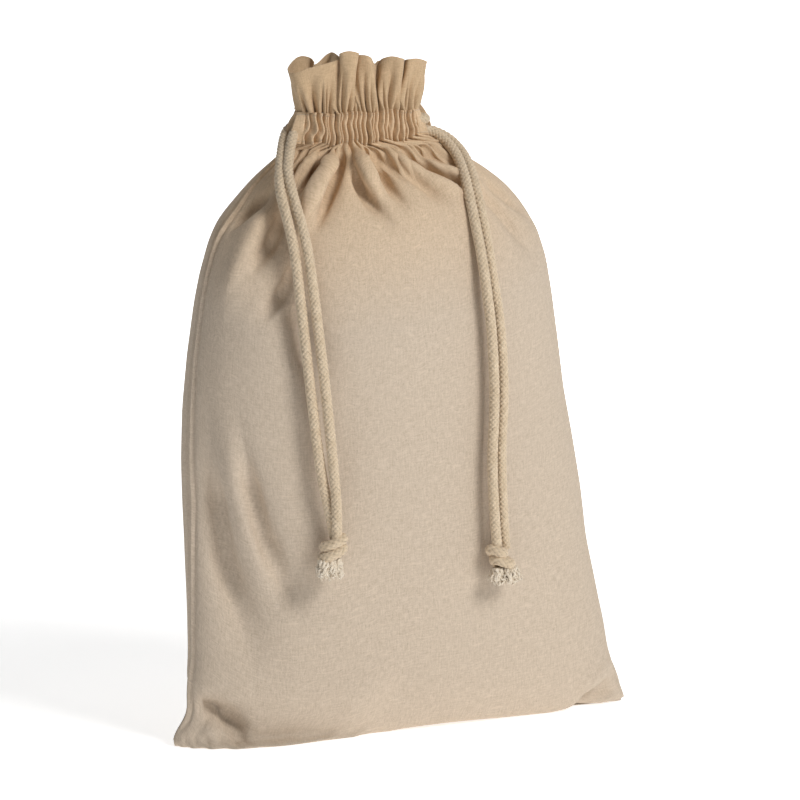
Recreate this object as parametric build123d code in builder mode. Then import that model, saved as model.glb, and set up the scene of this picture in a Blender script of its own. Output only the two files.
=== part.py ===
from build123d import *

import math
import os

# A cotton drawstring treat pouch, standing filled with its neck drawn closed.
# Millimetres, +Z up. The origin is on the floor under the middle of the pouch,
# the front face looks along -Y, and the two drawcords hang down the front.

# Cloth and seams
CLOTH = 1.0  # wall thickness that stands for the cloth
SEAM_WIDTH = 8.0  # seam allowance inside the pouch
SEAM_THICKNESS = 1.6  # two raw edges lying on each other
OVERLOCK_WIDTH = 4.0  # thread band wrapped over the raw edges
OVERLOCK_THREAD = 0.4
SIDE_TOP = 222.0  # height at which the side seams' allowances end, below the slits
EAR_TUCK = 8.0  # cloth folded flat inside each bottom corner

# The filled pouch, from the floor to the neck:
# height, half width, half depth, sideways shift of the middle
EAR_REACH = 97.0
BASE_HALF_DEPTH = 17.0
BODY = [
    (8.0, 93.5, 20.0, 2.0),
    (20.0, 91.0, 24.0, 0.5),
    (51.0, 87.5, 31.0, -3.0),
    (90.0, 84.5, 36.0, -6.5),
    (130.0, 80.0, 40.0, -10.5),
    (169.0, 74.5, 42.0, -11.0),
    (193.0, 68.0, 39.0, -11.0),
    (209.0, 57.5, 34.0, -12.0),
    (220.0, 42.0, 24.0, -14.0),
]

# Neck: two gathered cord tunnels with a frill above each
NECK_X = -16.0
NECK_BOTTOM = 230.0
NECK_HALF_WIDTH = 28.0
NECK_HALF_DEPTH = 12.0
TUNNEL_HEIGHT = 12.0
TUNNEL_HALF_LENGTH = 27.0
TUNNEL_WALL = 0.7
CHANNEL_DEPTH = 4.8
TUNNEL_MIDDLE_Y = 9.0
TUNNEL_END_Y = 3.2
FRILL_HEIGHT = 21.0
FRILL_THICKNESS = 1.2
FRILL_TOP_HALF_LENGTH = 28.0
FRILL_TOP_MIDDLE_Y = 14.0
FRILL_TOP_END_Y = 5.0

# Stitching and bartacks
STITCH_LENGTH = 2.6
STITCH_PITCH = 4.0
STITCH_THREAD = 0.5
STITCH_INSET = 1.0  # from each edge of the tunnel to its line of stitches
STITCHES_PER_LINE = 13
BARTACK = (4.0, 5.0, 3.0)

# Drawcords
CORD_DIAMETER = 4.0
LOWER_CORD_Z = 233.2
UPPER_CORD_Z = 237.3
EXIT_STUB = 4.6  # straight bit of cord outside each tunnel mouth
LOOP_REACH = 0.6  # where the turn of a cord starts, outside the far mouths
KNOT_RADIUS = 4.6
KNOT_HEIGHT = 9.5
KNOT_TILT = 12  # degrees by which its two wraps lean against each other
KNOT_CORE_INSET = 0.5
KNOT_BULGE = 0.8
FRAY_OVERLAP = 1.0  # cut ends start this far up inside the knot
FRAY_LENGTH = 7.0
FRAY_TOP_RADIUS = 2.0
FRAY_BOTTOM_RADIUS = 3.4
FRAY_SPREAD = 3.0  # from the knot's middle to the middle of each cut end

TUNNEL_TOP = NECK_BOTTOM + TUNNEL_HEIGHT
LEFT_MOUTH_X = NECK_X - TUNNEL_HALF_LENGTH
RIGHT_MOUTH_X = NECK_X + TUNNEL_HALF_LENGTH
LEFT_STUB_X = LEFT_MOUTH_X - EXIT_STUB
RIGHT_STUB_X = RIGHT_MOUTH_X + EXIT_STUB
TUNNEL_HALF_DEPTH = CHANNEL_DEPTH / 2 + TUNNEL_WALL

# Routes of the hanging strands, from the stub at the tunnel mouth to the knot
LEFT_FRONT_ROUTE = [
    (LEFT_STUB_X, -3.2, UPPER_CORD_Z),
    (-53.5, -3.2, UPPER_CORD_Z),
    (-56.4, -8.7, 232.4),
    (-57.0, -18.0, 222.0),
    (-57.6, -26.4, 209.4),
    (-57.6, -33.6, 191.5),
    (-55.8, -38.4, 168.0),
    (-51.0, -40.8, 139.0),
    (-47.6, -40.6, 108.0),
    (-44.6, -39.2, 82.5),
]
LEFT_BACK_ROUTE = [
    (LEFT_STUB_X, 3.2, UPPER_CORD_Z),
    (-55.0, 3.2, UPPER_CORD_Z),
    (-60.0, -3.6, 232.0),
    (-62.0, -13.2, 222.4),
    (-63.0, -21.8, 210.4),
    (-62.8, -29.6, 193.0),
    (-60.8, -35.0, 169.0),
    (-56.0, -38.2, 139.5),
    (-52.2, -38.6, 108.5),
    (-48.9, -37.4, 82.5),
]
RIGHT_FRONT_ROUTE = [
    (RIGHT_STUB_X, -3.2, LOWER_CORD_Z),
    (21.2, -3.2, LOWER_CORD_Z),
    (22.6, -9.6, 230.6),
    (19.4, -19.8, 224.8),
    (16.4, -30.8, 215.0),
    (15.2, -38.2, 201.0),
    (15.6, -42.6, 184.0),
    (17.2, -44.2, 160.0),
    (19.6, -43.0, 132.0),
    (18.4, -41.6, 103.0),
    (22.4, -39.6, 73.5),
]
RIGHT_BACK_ROUTE = [
    (RIGHT_STUB_X, 3.2, LOWER_CORD_Z),
    (23.2, 3.2, LOWER_CORD_Z),
    (28.2, -4.4, 230.6),
    (25.2, -15.8, 225.4),
    (21.6, -27.4, 216.8),
    (20.0, -35.8, 203.6),
    (20.2, -40.8, 186.6),
    (21.8, -42.6, 163.0),
    (24.4, -41.4, 135.0),
    (23.0, -40.0, 106.0),
    (26.7, -38.0, 73.5),
]
LEFT_KNOT_CENTRE = (-46.8, -38.2, 79.0)
RIGHT_KNOT_CENTRE = (24.6, -38.6, 69.5)

LEAST_STEP = 1.0  # smallest height between two sections of the pouch
ARC_SHARE = 0.45  # part of the shorter run that each arc of a strand takes up
BIG = 600.0  # larger than the whole pouch, for cutting shapes


def body_outline(height, half_width, half_depth, shift):
    """Oval cross section of the filled pouch, in two halves that meet at the side seams."""
    with BuildSketch(Plane.XY.offset(height)) as outline:
        with BuildLine():
            EllipticalCenterArc((shift, 0), half_width, half_depth, start_angle=0, arc_size=180)
            EllipticalCenterArc((shift, 0), half_width, half_depth, start_angle=180, arc_size=180)
        make_face()
    return outline.sketch


def base_outline(height, half_width, half_depth):
    """Pointed outline of the pouch on the floor, with a dog ear at each end."""
    with BuildSketch(Plane.XY.offset(height)) as outline:
        with BuildLine():
            ThreePointArc((half_width, 0), (0, half_depth), (-half_width, 0))
            ThreePointArc((-half_width, 0), (0, -half_depth), (half_width, 0))
        make_face()
    return outline.sketch


def pouch_volume(inset, floor, ear_tuck, depth_inset):
    """Solid bounded by the pouch's surface moved inwards."""
    sections = [base_outline(floor, EAR_REACH - inset - ear_tuck, BASE_HALF_DEPTH - depth_inset)]
    for height, half_width, half_depth, shift in BODY:
        if height > floor + LEAST_STEP:
            sections.append(body_outline(height, half_width - inset, half_depth - depth_inset, shift))
    neck_width = NECK_HALF_WIDTH - inset
    neck_depth = NECK_HALF_DEPTH - depth_inset
    sections.append(body_outline(NECK_BOTTOM, neck_width, neck_depth, NECK_X))
    with BuildPart() as volume:
        loft(sections, ruled=True)
    return volume.part


def neck_strip(height, half_length, middle_y, end_y, half_thickness):
    """Curved strip of the front neck seen from above: a band around a circular arc."""
    with BuildSketch(Plane.XY.offset(height)) as strip:
        with BuildLine():
            outer = ThreePointArc(
                (NECK_X - half_length, -end_y - half_thickness),
                (NECK_X, -middle_y - half_thickness),
                (NECK_X + half_length, -end_y - half_thickness),
            )
            inner = ThreePointArc(
                (NECK_X + half_length, -end_y + half_thickness),
                (NECK_X, -middle_y + half_thickness),
                (NECK_X - half_length, -end_y + half_thickness),
            )
            Line(outer @ 1, inner @ 0)
            Line(inner @ 1, outer @ 0)
        make_face()
    return strip.sketch


def corner_radii(route):
    """Arc radius at each inner point of a cord's route: as large as its two runs allow."""
    points = [Vector(*point) for point in route]
    radii = []
    for before, corner, after in zip(points, points[1:], points[2:]):
        run_in = corner - before
        run_out = after - corner
        turn = math.radians(run_in.get_angle(run_out))
        radii.append(ARC_SHARE * min(run_in.length, run_out.length) / math.tan(turn / 2))
    return radii


def cord_tube(label, route):
    """Round cord along straight runs joined by tangent arcs."""
    radii = corner_radii(route)
    with BuildPart() as tube:
        with BuildLine():
            path = FilletPolyline(*route, radius=radii)
        with BuildSketch(Plane(path @ 0, z_dir=path % 0)):
            Circle(CORD_DIAMETER / 2)
        sweep()
    section = math.pi * CORD_DIAMETER**2 / 4
    ratio = tube.part.volume / (section * path.length)
    rounded = [round(radius, 1) for radius in radii]
    print(label, "length", round(path.length, 1), "radii", rounded, "volume ratio", round(ratio, 4))
    return tube.part


def save(part, name):
    """Label one piece and write it."""
    part.label = name
    export_step(part, f"parts/{name}.step")


os.makedirs("parts", exist_ok=True)

outer_volume = pouch_volume(0, 0, 0, 0)
cavity = pouch_volume(CLOTH, CLOTH, EAR_TUCK, CLOTH)

# Front and back panels: the two cloth halves, sewn down both sides and along the bottom
with BuildPart() as pouch_shell:
    add(outer_volume)
    add(cavity, mode=Mode.SUBTRACT)

with BuildPart() as front_panel:
    add(pouch_shell.part)
    split(bisect_by=Plane.XZ, keep=Keep.TOP)
save(front_panel.part, "front_panel")

with BuildPart() as back_panel:
    add(pouch_shell.part)
    split(bisect_by=Plane.XZ, keep=Keep.BOTTOM)
save(back_panel.part, "back_panel")

# Seam allowances: the doubled raw edges standing inwards along the sides and the bottom
SEAM_EDGE = CLOTH + SEAM_WIDTH
with BuildPart() as seam_allowance:
    add(cavity)
    Box(BIG, SEAM_THICKNESS, BIG, mode=Mode.INTERSECT)
    add(pouch_volume(SEAM_EDGE, SEAM_EDGE, EAR_TUCK, 0), mode=Mode.SUBTRACT)

# Overlocking: a band of thread folded over the raw edge of the allowances
with BuildPart() as overlock:
    band = CLOTH + SEAM_WIDTH - OVERLOCK_WIDTH
    add(pouch_volume(band, band, EAR_TUCK, CLOTH))
    Box(BIG, SEAM_THICKNESS + 2 * OVERLOCK_THREAD, BIG, mode=Mode.INTERSECT)
    thread_edge = SEAM_EDGE + OVERLOCK_THREAD
    add(pouch_volume(thread_edge, thread_edge, EAR_TUCK, 0), mode=Mode.SUBTRACT)
    add(seam_allowance.part, mode=Mode.SUBTRACT)

SIDE_START = SEAM_EDGE + OVERLOCK_THREAD
side_length = SIDE_TOP - SIDE_START
side_middle = (SIDE_TOP + SIDE_START) / 2
for band_part, word in ((seam_allowance.part, "seam"), (overlock.part, "seam_overlock")):
    for side, x in (("left", -BIG / 2), ("right", BIG / 2)):
        with BuildPart() as side_piece:
            add(band_part)
            with Locations((x, 0, side_middle)):
                Box(BIG, BIG, side_length, mode=Mode.INTERSECT)
        save(side_piece.part, f"{side}_side_{word}")
    with BuildPart() as bottom_piece:
        add(band_part)
        with Locations((0, 0, SIDE_START / 2)):
            Box(BIG, BIG, SIDE_START, mode=Mode.INTERSECT)
    save(bottom_piece.part, f"bottom_{word}")

# Front tunnel: a doubled band of cloth with a channel for both cords
with BuildPart() as front_tunnel:
    band_shape = (TUNNEL_HALF_LENGTH, TUNNEL_MIDDLE_Y, TUNNEL_END_Y)
    extrude(neck_strip(NECK_BOTTOM, *band_shape, TUNNEL_HALF_DEPTH), amount=TUNNEL_HEIGHT)
    channel = neck_strip(NECK_BOTTOM + TUNNEL_WALL, *band_shape, CHANNEL_DEPTH / 2)
    extrude(channel, amount=TUNNEL_HEIGHT - 2 * TUNNEL_WALL, mode=Mode.SUBTRACT)

# Front frill: the free header above the tunnel, open at both sides
with BuildPart() as front_frill:
    foot = neck_strip(TUNNEL_TOP, *band_shape, FRILL_THICKNESS / 2)
    rim_shape = (FRILL_TOP_HALF_LENGTH, FRILL_TOP_MIDDLE_Y, FRILL_TOP_END_Y)
    rim = neck_strip(TUNNEL_TOP + FRILL_HEIGHT, *rim_shape, FRILL_THICKNESS / 2)
    loft([foot, rim])


def stitch_line(height):
    """Row of short thread stitches proud of the front tunnel's outer face."""
    with BuildPart() as stitches:
        arc = (TUNNEL_HALF_LENGTH, TUNNEL_MIDDLE_Y, TUNNEL_END_Y)
        with BuildSketch(Plane.XY.offset(height - STITCH_THREAD / 2)):
            add(neck_strip(0, *arc, TUNNEL_HALF_DEPTH + STITCH_THREAD))
            add(neck_strip(0, *arc, TUNNEL_HALF_DEPTH), mode=Mode.SUBTRACT)
            with Locations((NECK_X, -BIG / 2 - TUNNEL_END_Y)):
                Rectangle(BIG, BIG, mode=Mode.INTERSECT)
            with GridLocations(STITCH_PITCH, 0, STITCHES_PER_LINE, 1) as grid:
                spots = [Location((NECK_X + spot.position.X, -BIG / 4)) for spot in grid.locations]
            with Locations(*spots):
                Rectangle(STITCH_LENGTH, BIG / 2, mode=Mode.INTERSECT)
        extrude(amount=STITCH_THREAD)
    return stitches.part


lower_stitches = stitch_line(NECK_BOTTOM + STITCH_INSET)
upper_stitches = stitch_line(TUNNEL_TOP - STITCH_INSET)

neck_pieces = (
    (front_tunnel.part, "tunnel"),
    (front_frill.part, "frill"),
    (lower_stitches, "tunnel_lower_stitches"),
    (upper_stitches, "tunnel_upper_stitches"),
)
for front_piece, word in neck_pieces:
    save(front_piece, f"front_{word}")
    with BuildPart() as back_piece:
        add(mirror(front_piece, about=Plane.XZ, mode=Mode.PRIVATE))
    save(back_piece.part, f"back_{word}")

# Bartacks: the block of thread that stops each side seam from tearing below its slit
for side, direction in (("left", -1), ("right", 1)):
    with BuildPart() as bartack:
        with Locations((NECK_X + direction * NECK_HALF_WIDTH, 0, NECK_BOTTOM - BARTACK[2] / 2)):
            Box(*BARTACK)
        add(outer_volume, mode=Mode.SUBTRACT)
        add(cavity, mode=Mode.SUBTRACT)
    save(bartack.part, f"{side}_slit_bartack")

# Drawcords inside the tunnels: each enters and leaves at one side and turns round at the other
ARC_SAG = TUNNEL_MIDDLE_Y - TUNNEL_END_Y
ARC_RADIUS = (TUNNEL_HALF_LENGTH**2 + ARC_SAG**2) / (2 * ARC_SAG)
loop_end = TUNNEL_HALF_LENGTH + LOOP_REACH
loop_end_y = TUNNEL_MIDDLE_Y - ARC_RADIUS + math.sqrt(ARC_RADIUS**2 - loop_end**2)
for side, direction, level in (("left", -1, UPPER_CORD_Z), ("right", 1, LOWER_CORD_Z)):
    mouth = NECK_X + direction * TUNNEL_HALF_LENGTH
    start = NECK_X + direction * loop_end
    far = NECK_X - direction * loop_end
    with BuildPart() as loop:
        with BuildLine() as loop_line:
            front_run = ThreePointArc(
                (start, -loop_end_y, level), (NECK_X, -TUNNEL_MIDDLE_Y, level), (far, -loop_end_y, level)
            )
            turn = TangentArc(front_run @ 1, (far, loop_end_y, level), tangent=front_run % 1)
            ThreePointArc(turn @ 1, (NECK_X, TUNNEL_MIDDLE_Y, level), (start, loop_end_y, level))
        with BuildSketch(Plane(front_run @ 0, z_dir=front_run % 0)):
            Circle(CORD_DIAMETER / 2)
        sweep()
        with Locations((mouth - direction * BIG / 2, 0, level)):
            Box(BIG, BIG, BIG, mode=Mode.INTERSECT)
    save(loop.part, f"{side}_drawcord_loop")
    with BuildPart() as stubs:
        with BuildSketch(Plane(origin=(mouth, 0, level), x_dir=(0, 1, 0), z_dir=(direction, 0, 0))):
            with Locations((-TUNNEL_END_Y, 0), (TUNNEL_END_Y, 0)):
                Circle(CORD_DIAMETER / 2)
        extrude(amount=EXIT_STUB)
    save(stubs.part, f"{side}_drawcord_exits")

routes = {
    "left_front_strand": LEFT_FRONT_ROUTE,
    "left_back_strand": LEFT_BACK_ROUTE,
    "right_front_strand": RIGHT_FRONT_ROUTE,
    "right_back_strand": RIGHT_BACK_ROUTE,
}
for name, route in routes.items():
    save(cord_tube(name, route), name)

# Knots: both ends of one drawcord tied together, and the cut ends fraying below
for side, centre in (("left", LEFT_KNOT_CENTRE), ("right", RIGHT_KNOT_CENTRE)):
    with BuildPart() as knot:
        wrap = CORD_DIAMETER / 2
        for lift, tilt in ((wrap - KNOT_HEIGHT / 2, KNOT_TILT), (KNOT_HEIGHT / 2 - wrap, -KNOT_TILT)):
            with Locations(Location((centre[0], centre[1], centre[2] + lift), (tilt, 0, 0))):
                Torus(KNOT_RADIUS, wrap)
        with Locations(centre):
            Cylinder(KNOT_RADIUS, KNOT_HEIGHT - 2 * KNOT_CORE_INSET)
            Sphere(KNOT_HEIGHT / 2 + KNOT_BULGE)
    save(knot.part, f"{side}_knot")
    with BuildPart() as fray:
        top = centre[2] - KNOT_HEIGHT / 2 + FRAY_OVERLAP
        for x in (-FRAY_SPREAD, FRAY_SPREAD):
            with Locations((centre[0] + x, centre[1], top - FRAY_LENGTH / 2)):
                Cone(FRAY_BOTTOM_RADIUS, FRAY_TOP_RADIUS, FRAY_LENGTH)
        add(knot.part, mode=Mode.SUBTRACT)
    save(fray.part, f"{side}_frayed_ends")
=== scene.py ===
import math

import bpy
import numpy as np
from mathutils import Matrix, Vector


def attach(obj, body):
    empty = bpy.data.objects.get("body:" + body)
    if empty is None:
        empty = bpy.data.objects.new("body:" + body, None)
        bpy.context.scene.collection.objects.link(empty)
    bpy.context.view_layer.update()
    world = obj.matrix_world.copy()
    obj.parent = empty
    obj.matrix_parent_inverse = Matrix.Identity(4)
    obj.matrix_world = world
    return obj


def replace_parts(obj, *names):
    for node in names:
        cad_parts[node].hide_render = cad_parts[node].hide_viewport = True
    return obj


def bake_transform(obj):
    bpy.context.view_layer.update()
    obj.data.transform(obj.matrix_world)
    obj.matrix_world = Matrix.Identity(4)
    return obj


# Looks of a cotton drawstring treat pouch: two cloth panels sewn along the sides and the bottom,
# gathered cord tunnels with a frill above each, and two braided drawcords knotted at their ends.
# Lengths are in millimetres, and MM turns them into metres; only the cords' routes, the lamps and the
# camera are placed in metres.

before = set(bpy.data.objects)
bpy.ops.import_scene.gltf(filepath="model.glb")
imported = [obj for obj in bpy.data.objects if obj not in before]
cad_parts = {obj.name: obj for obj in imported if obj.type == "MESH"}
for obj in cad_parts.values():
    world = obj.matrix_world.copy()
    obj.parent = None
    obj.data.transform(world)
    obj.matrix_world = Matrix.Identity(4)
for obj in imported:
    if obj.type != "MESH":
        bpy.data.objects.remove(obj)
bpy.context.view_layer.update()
MM = 0.001
rng = np.random.default_rng(11)

# ---------------------------------------------------------------- sizes

CLOTH_WIDTH = 200.0  # each panel, flat, between its side seams
BODY_LENGTH = 265.0  # from the bottom seam to the tunnel
TUNNEL_LENGTH = 12.0
FRILL_LENGTH = 21.0
FLAT_END = 4.0  # ungathered cloth at each end of a tunnel
COLUMNS = 400  # cloth columns round the pouch, 1 mm apart: left seam, front, right seam, back
SIDE_COLUMNS = COLUMNS // 2
ROW_STEP = 4.0
TOP_ROW_STEP = 1.5
TOP_ROWS_START = 190.0
FLOOR_GAP = 0.3  # the middle of the cloth's thickness stays this far above the floor
CLOTH_THICKNESS = 0.45
EDGE_ROW = 0.1  # a last narrow row keeps the cloth's shading flat up to its edge
WEAVE_SHIFT = 4.0  # metres of cloth between the front's weave and the back's, so that they differ
OUT = (-1.0, 1.0)  # outwards along y, for side 0 (the front) and side 1 (the back)

NECK_X = -16.0
NECK_Z = 230.0
NECK_HALF = 27.0
NECK_CENTRES = (-20.5, -15.5)  # the drawn front has slipped a little to the left of the back
NECK_HALVES = (27.0, 27.6)
NECK_MIDDLE_Y = 11.2
PLEATS = 24
PLEAT_DEPTH = 3.9
GATHER_DEPTH = 2.8  # the body's own gathers at the neck, which fade below it
GATHER_REACH = 6.0
TUNNEL_BULGE = 1.6
NECK_FLATNESS = 0.86  # 0 for a straight-sided neck, 1 for a true oval
SLIT_LEAN = 3.2  # how far the slits' edges lean outwards at the lower stitches
SLIT_LEAN_CHANGE = 4.6  # and how much less they do at the upper ones
SEAM_TURN = math.radians(2.5)  # the side seams lie this far round to the front of the oval's ends

# height, half width, half depth and sideways shift of the filled pouch's oval sections
SECTIONS = [
    (2.0, 98.0, 14.5, 1.4),
    (4.5, 97.2, 16.0, 1.0),
    (7.5, 95.0, 17.6, 1.6),
    (10.5, 93.6, 19.2, 2.6),
    (14.0, 92.8, 20.8, 2.3),
    (20.0, 92.5, 23.0, 0.5),
    (35.0, 90.0, 26.4, -0.2),
    (51.0, 87.9, 29.5, -2.3),
    (70.0, 85.6, 32.0, -4.9),
    (90.0, 84.2, 34.2, -6.5),
    (110.0, 82.2, 36.2, -8.6),
    (130.0, 79.8, 37.8, -10.5),
    (150.0, 77.2, 39.4, -11.0),
    (169.0, 74.2, 40.0, -11.0),
    (181.0, 71.6, 39.2, -10.8),
    (193.0, 67.6, 37.4, -11.0),
    (201.0, 63.6, 35.6, -11.4),
    (209.0, 56.2, 32.4, -11.2),
    (215.0, 50.0, 28.6, -12.0),
    (220.0, 42.4, 23.6, -13.8),
    (225.0, 35.4, 18.0, -14.6),
    (228.0, 33.0, 14.8, -15.0),
]
# outlines of the front and of the back on the floor, from the left ear to the right one
BASE_FRONT = [
    (-96, -1), (-90, -9), (-77, -16.5), (-63, -19.4), (-48, -19), (-33, -16.9), (-12, -12),
    (12, -7.4), (31, -7.5), (50, -9), (69, -7.5), (84, -5), (98, 0),
]
BASE_BACK = [(-96, -1), (-80, 8), (-50, 14), (0, 17), (50, 14), (80, 8), (98, 0)]

# Folds of the front: path as (cloth mm from the left seam, height), half width, height of the fold
FRONT_FOLDS = [
    ([(20, 214), (9, 205), (5, 196)], 3.2, -3.0),
    ([(35, 212), (31, 203), (28, 192), (25, 182)], 4.2, -3.5),
    ([(27, 214), (22, 200), (17, 180), (14, 165)], 5.0, 2.0),
    ([(44, 190), (41, 183), (36, 172), (33, 165)], 2.6, -2.4),
    ([(43, 184), (47, 166), (52, 148), (54, 130)], 5.0, -3.0),
    ([(9, 138), (11, 113), (12, 97), (14, 82), (17, 68), (22, 50), (26, 34), (28, 22)], 7.0, -5.0),
    ([(19, 131), (22, 112), (24, 98), (27, 85), (31, 70), (36, 56)], 6.5, 2.0),
    ([(24, 130), (27, 112), (29, 98), (32, 85), (37, 72), (43, 58), (48, 46)], 4.5, -4.0),
    ([(56, 140), (59, 119), (58, 100), (55, 88)], 4.5, -1.6),
    ([(58, 229), (51, 224), (46, 216), (43, 206), (42, 197)], 3.2, 4.2),
    ([(46, 229), (40, 221), (36, 211)], 2.2, -4.2),
    ([(37, 229), (31, 223), (28, 215)], 2.4, 2.6),
    ([(31, 228), (26, 221), (23, 213)], 2.0, -2.4),
    ([(64, 229), (58, 224), (53, 217), (51, 208), (49, 198)], 2.4, -4.6),
    ([(78, 229), (75, 223), (78, 217), (83, 211)], 3.4, 3.4),
    ([(70, 224), (72, 216), (78, 209), (90, 200)], 2.2, -4.0),
    ([(90, 229), (88, 223), (92, 214), (99, 206)], 2.4, -3.4),
    ([(99, 229), (100, 223), (106, 216)], 2.0, -2.2),
    ([(108, 229), (112, 223), (120, 218)], 2.0, 1.6),
    # long folds that sweep from the neck to the right shoulder
    ([(140, 228), (149, 224), (162, 219)], 3.2, -2.4),
    ([(130, 227), (139, 221), (152, 216), (164, 212)], 3.0, 1.8),
    ([(118, 228), (130, 220), (144, 213), (158, 208)], 2.8, -4.0),
    ([(112, 226), (124, 217), (138, 211), (150, 206)], 2.8, 1.8),
    ([(106, 222), (116, 213), (128, 207)], 2.4, -2.0),
    ([(152, 213), (159, 205), (165, 194), (172, 180)], 4.5, -2.4),
    ([(165, 216), (178, 206), (188, 194)], 3.5, -2.0),
    # tuck above the left ear, and the ridge under it that ends in the front corner
    ([(4, 18), (10, 15), (17, 11), (24, 6), (29, 1)], 3.0, -5.0),
    ([(9, 8), (16, 5), (25, 1)], 2.6, 1.4),
    # fold that lifts the front over the right ear
    ([(166, 0), (180, 4), (190, 8), (198, 11)], 3.2, -3.2),
    ([(170, 8), (182, 13), (198, 20)], 3.4, 1.2),
]
# Folds of the back, as cloth mm from the right seam
BACK_FOLDS = [
    ([(40, 228), (36, 215), (30, 200), (27, 184)], 3.6, -3.6),
    ([(62, 228), (60, 214), (54, 196), (50, 175)], 4.0, -3.4),
    ([(84, 228), (85, 212), (82, 194)], 3.4, -3.0),
    ([(104, 228), (106, 214), (110, 198), (112, 180)], 4.0, -3.4),
    ([(126, 228), (131, 214), (138, 200)], 3.4, -3.2),
    ([(148, 228), (156, 214), (164, 198), (168, 180)], 3.6, -3.2),
    ([(52, 150), (48, 120), (40, 90), (30, 62)], 6.0, -2.6),
    ([(150, 140), (156, 112), (166, 84), (176, 58)], 6.0, -2.6),
    ([(196, 22), (184, 16), (172, 8)], 3.4, -4.0),
    ([(4, 22), (16, 16), (28, 8)], 3.4, -4.0),
]
SEED_SHARE = 1.35  # how much of each fold the cloth starts with
FINISH_SHARE = 1.0  # and how much is pressed in after it has settled

# top edges of the two frills: cloth mm from the left, x, y, height
FRONT_FRILL_TOP = [
    (0, -35.5, 2.0, 260.5), (7, -36.0, 5.0, 262.0), (14, -40.0, 5.5, 262.5), (20, -45.5, 1.0, 260.5),
    (25, -49.5, -4.5, 258.5), (31, -49.5, -9.5, 257.5), (40, -45.0, -13.0, 259.5), (50, -39.0, -14.5, 261.0),
    (58, -33.5, -15.0, 262.5), (64, -29.0, -8.5, 263.0), (70, -33.5, -17.0, 265.0),
    (77, -31.0, -19.5, 266.0),
    (84, -26.5, -18.5, 265.0), (91, -24.0, -8.5, 263.0), (98, -25.0, -15.0, 264.0),
    (105, -21.5, -17.5, 263.5), (111, -18.0, -14.0, 260.5), (117, -14.0, -9.0, 259.5),
    (124, -13.5, -12.5, 262.0), (131, -11.0, -15.5, 263.0), (140, -6.5, -16.0, 262.0),
    (147, -2.5, -8.5, 260.5), (154, -3.0, -13.5, 261.5), (164, 1.5, -13.5, 261.5), (172, 7.0, -8.5, 260.0),
    (181, 9.5, -2.5, 259.5), (190, 8.0, 1.5, 259.5), (200, 5.5, 3.5, 259.0),
]
BACK_FRILL_TOP = [
    (0, -39.0, 5.0, 258.5), (10, -34.5, 10.0, 258.0), (22, -28.0, 16.0, 258.5), (34, -21.5, 17.0, 262.5),
    (45, -20.5, 10.0, 261.0), (56, -20.0, 6.0, 259.5), (67, -13.5, 17.5, 259.0), (78, -14.5, 6.0, 259.0),
    (89, -7.0, 17.5, 258.5), (100, -8.0, 6.0, 258.5), (111, -0.5, 17.5, 258.5), (122, -1.5, 6.0, 258.5),
    (133, 5.5, 17.5, 258.5), (145, 4.5, 6.0, 258.5), (157, 11.0, 16.5, 258.5), (170, 10.5, 6.0, 258.5),
    (184, 14.5, 10.0, 258.0), (200, 12.5, 4.5, 257.5),
]
# feet of the two frills, on the tunnels' upper stitches: cloth mm from the left, x, y
FRONT_FRILL_FOOT = [
    (0, -39.5, -0.5), (14, -43.2, -1.5), (25, -45.0, -4.6), (36, -41.5, -7.6), (48, -37.5, -9.2),
    (58, -34.0, -10.0), (70, -31.0, -10.5), (84, -26.5, -11.0), (91, -23.5, -11.2), (105, -18.5, -11.2),
    (124, -12.5, -10.9), (147, -6.0, -9.8), (164, 0.0, -8.0), (173, 3.4, -6.4), (185, 5.0, -4.0),
    (200, 2.5, -1.0),
]
BACK_FRILL_FOOT = [
    (0, -42.0, 4.4), (20, -38.0, 7.6), (60, -26.5, 10.6), (100, -15.0, 11.2), (140, -3.0, 10.4),
    (180, 8.0, 6.9), (200, 11.0, 4.6),
]

# ---------------------------------------------------------------- drawcords: routes in metres

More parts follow.
